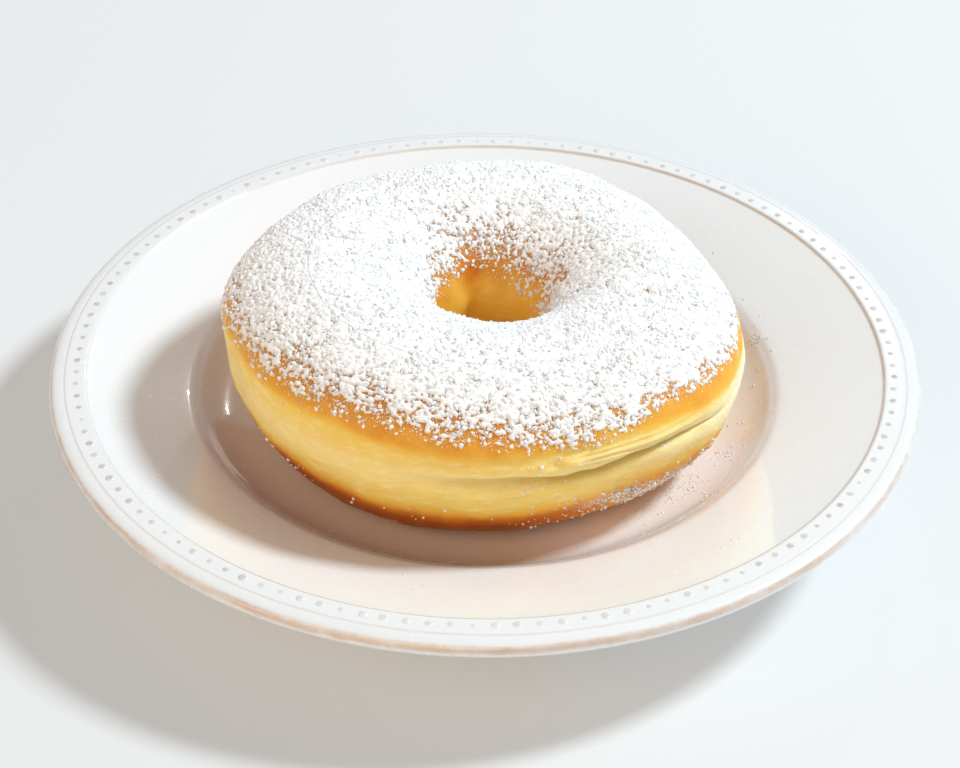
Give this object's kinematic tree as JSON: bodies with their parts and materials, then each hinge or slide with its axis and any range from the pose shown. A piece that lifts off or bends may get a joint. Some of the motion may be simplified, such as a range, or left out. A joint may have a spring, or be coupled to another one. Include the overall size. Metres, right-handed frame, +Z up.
{
  "type": "ring doughnut on a plate",
  "caption": "Yeast-raised ring doughnut dusted with icing sugar, resting in the well of a round glazed side plate with a beaded rim and a foot ring.",
  "frame": {"origin": "on the table under the centre of the plate", "axes": "+Z up, -Y towards the front, where the doughnut's fold shows, +X to the right seen from the front"},
  "size_m": [0.17, 0.17, 0.0495],
  "materials": {
    "glazed_stoneware": "gloss",
    "fried_dough": "satin",
    "icing_sugar": "matte"
  },
  "bodies": {
    "root": {"plate": "glazed_stoneware", "doughnut": "fried_dough", "icing_sugar": "icing_sugar"}
  },
  "joints": []
}
